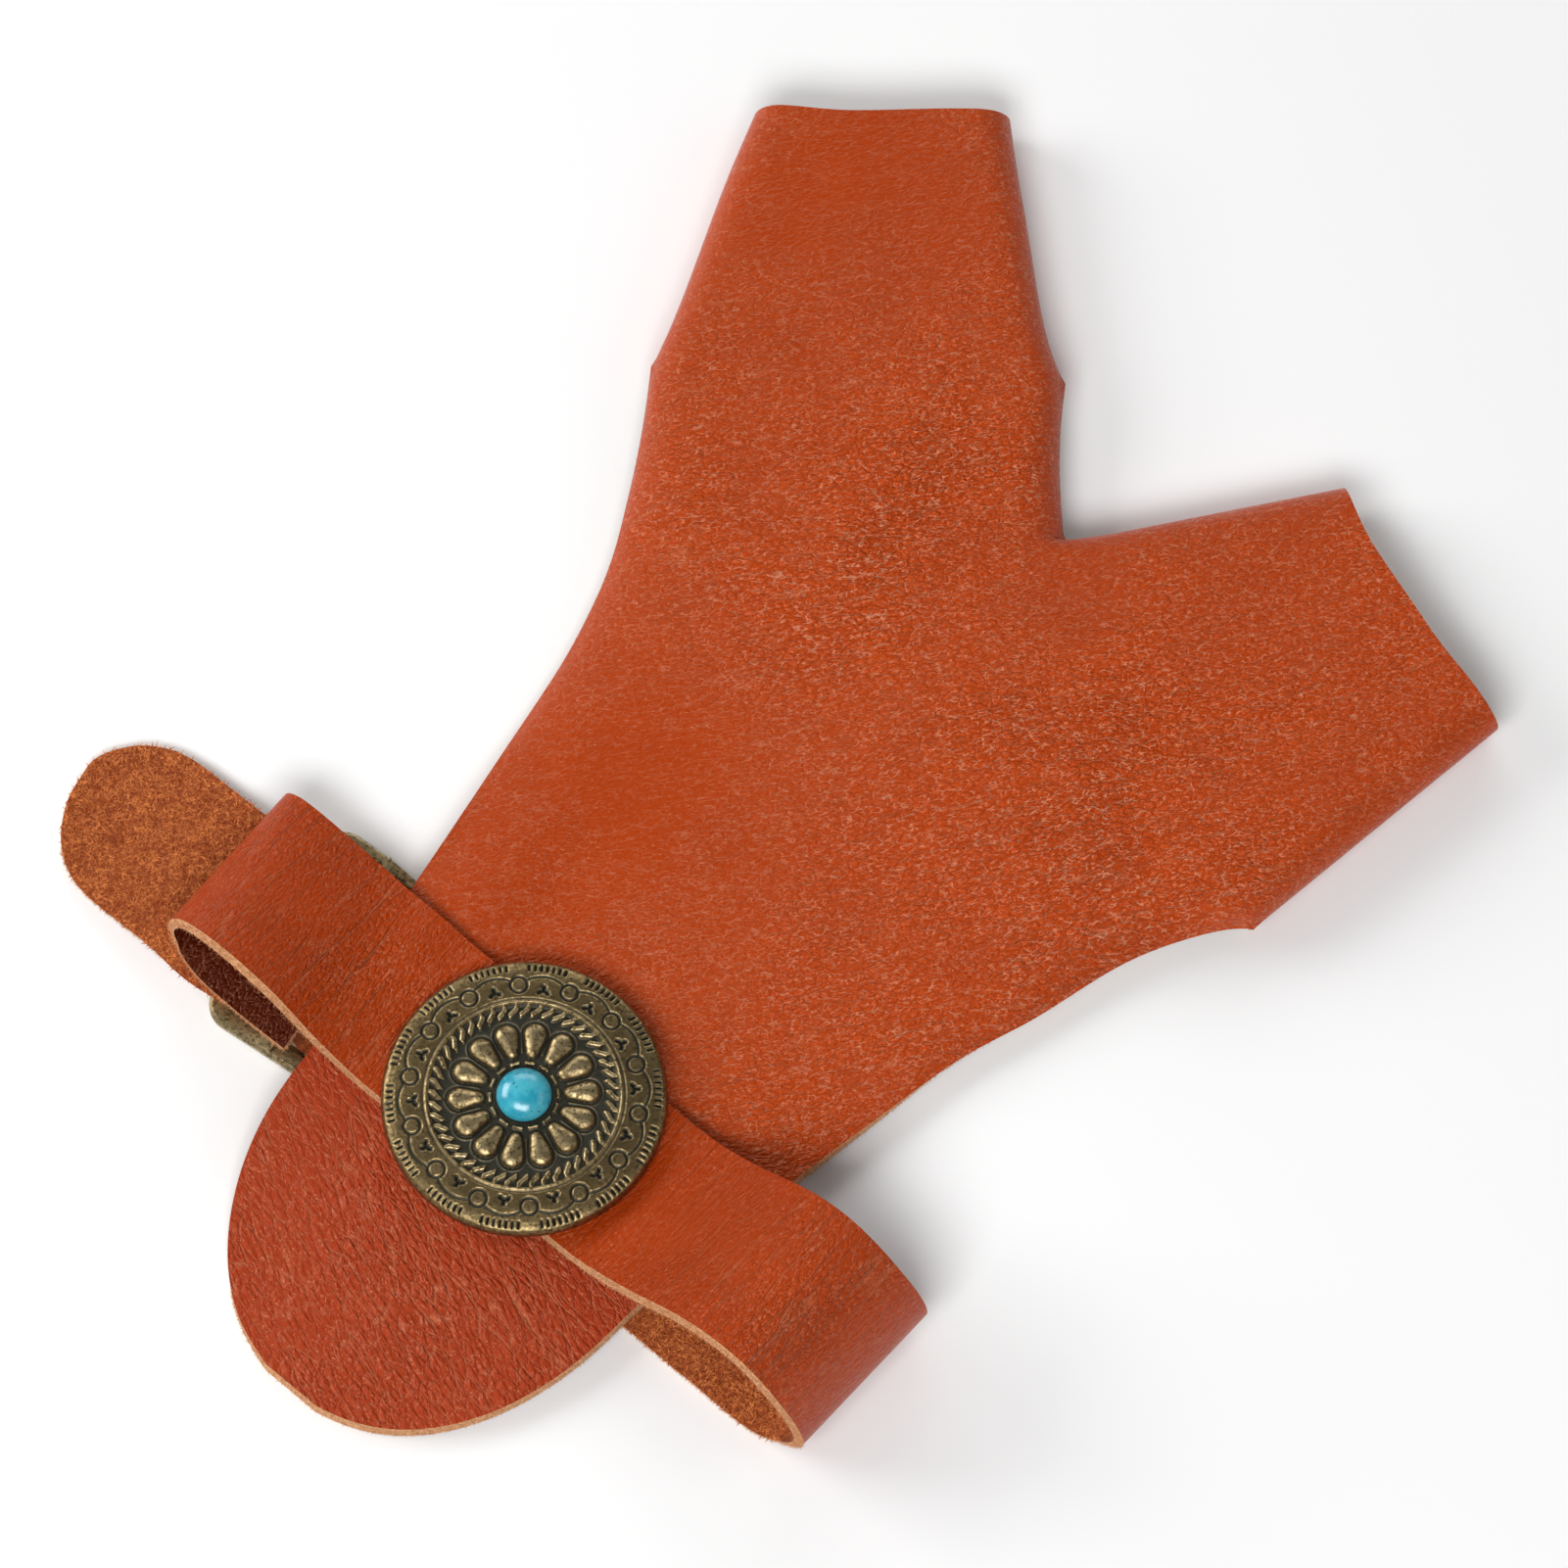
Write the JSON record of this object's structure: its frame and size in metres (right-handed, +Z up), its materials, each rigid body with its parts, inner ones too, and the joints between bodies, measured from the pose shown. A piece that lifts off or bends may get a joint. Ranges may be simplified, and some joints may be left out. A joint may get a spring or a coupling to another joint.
{
  "type": "archery glove",
  "caption": "Leather bow-hand glove with an index sleeve, a thumb sleeve, a back panel and a buckled wrist strap held by a round brass concho with a turquoise stone.",
  "frame": {"origin": "middle of the footprint, on the surface the glove lies on", "axes": "+Z up, +Y the way the index sleeve points, +X towards the thumb sleeve"},
  "size_m": [0.1926, 0.1894, 0.0231],
  "materials": {
    "glove_leather": "pebbled chrome-tanned leather in reddish brown, satin sheen, tan raw edges and a suede flesh side",
    "strap_leather": "lightly pebbled leather strap, orange brown, satin sheen, with fibrous tan edges and a suede flesh side",
    "antique_brass": "antiqued brass, dark patina in the recesses and rubbed bright on the high parts",
    "turquoise": "polished turquoise cabochon with a fine dark matrix"
  },
  "bodies": {
    "root": {"glove_body": "glove_leather", "wrist_strap": "strap_leather", "buckle_frame": "antique_brass", "concho_plate": "antique_brass", "turquoise_stone": "turquoise", "concho_post": "antique_brass"}
  },
  "joints": []
}
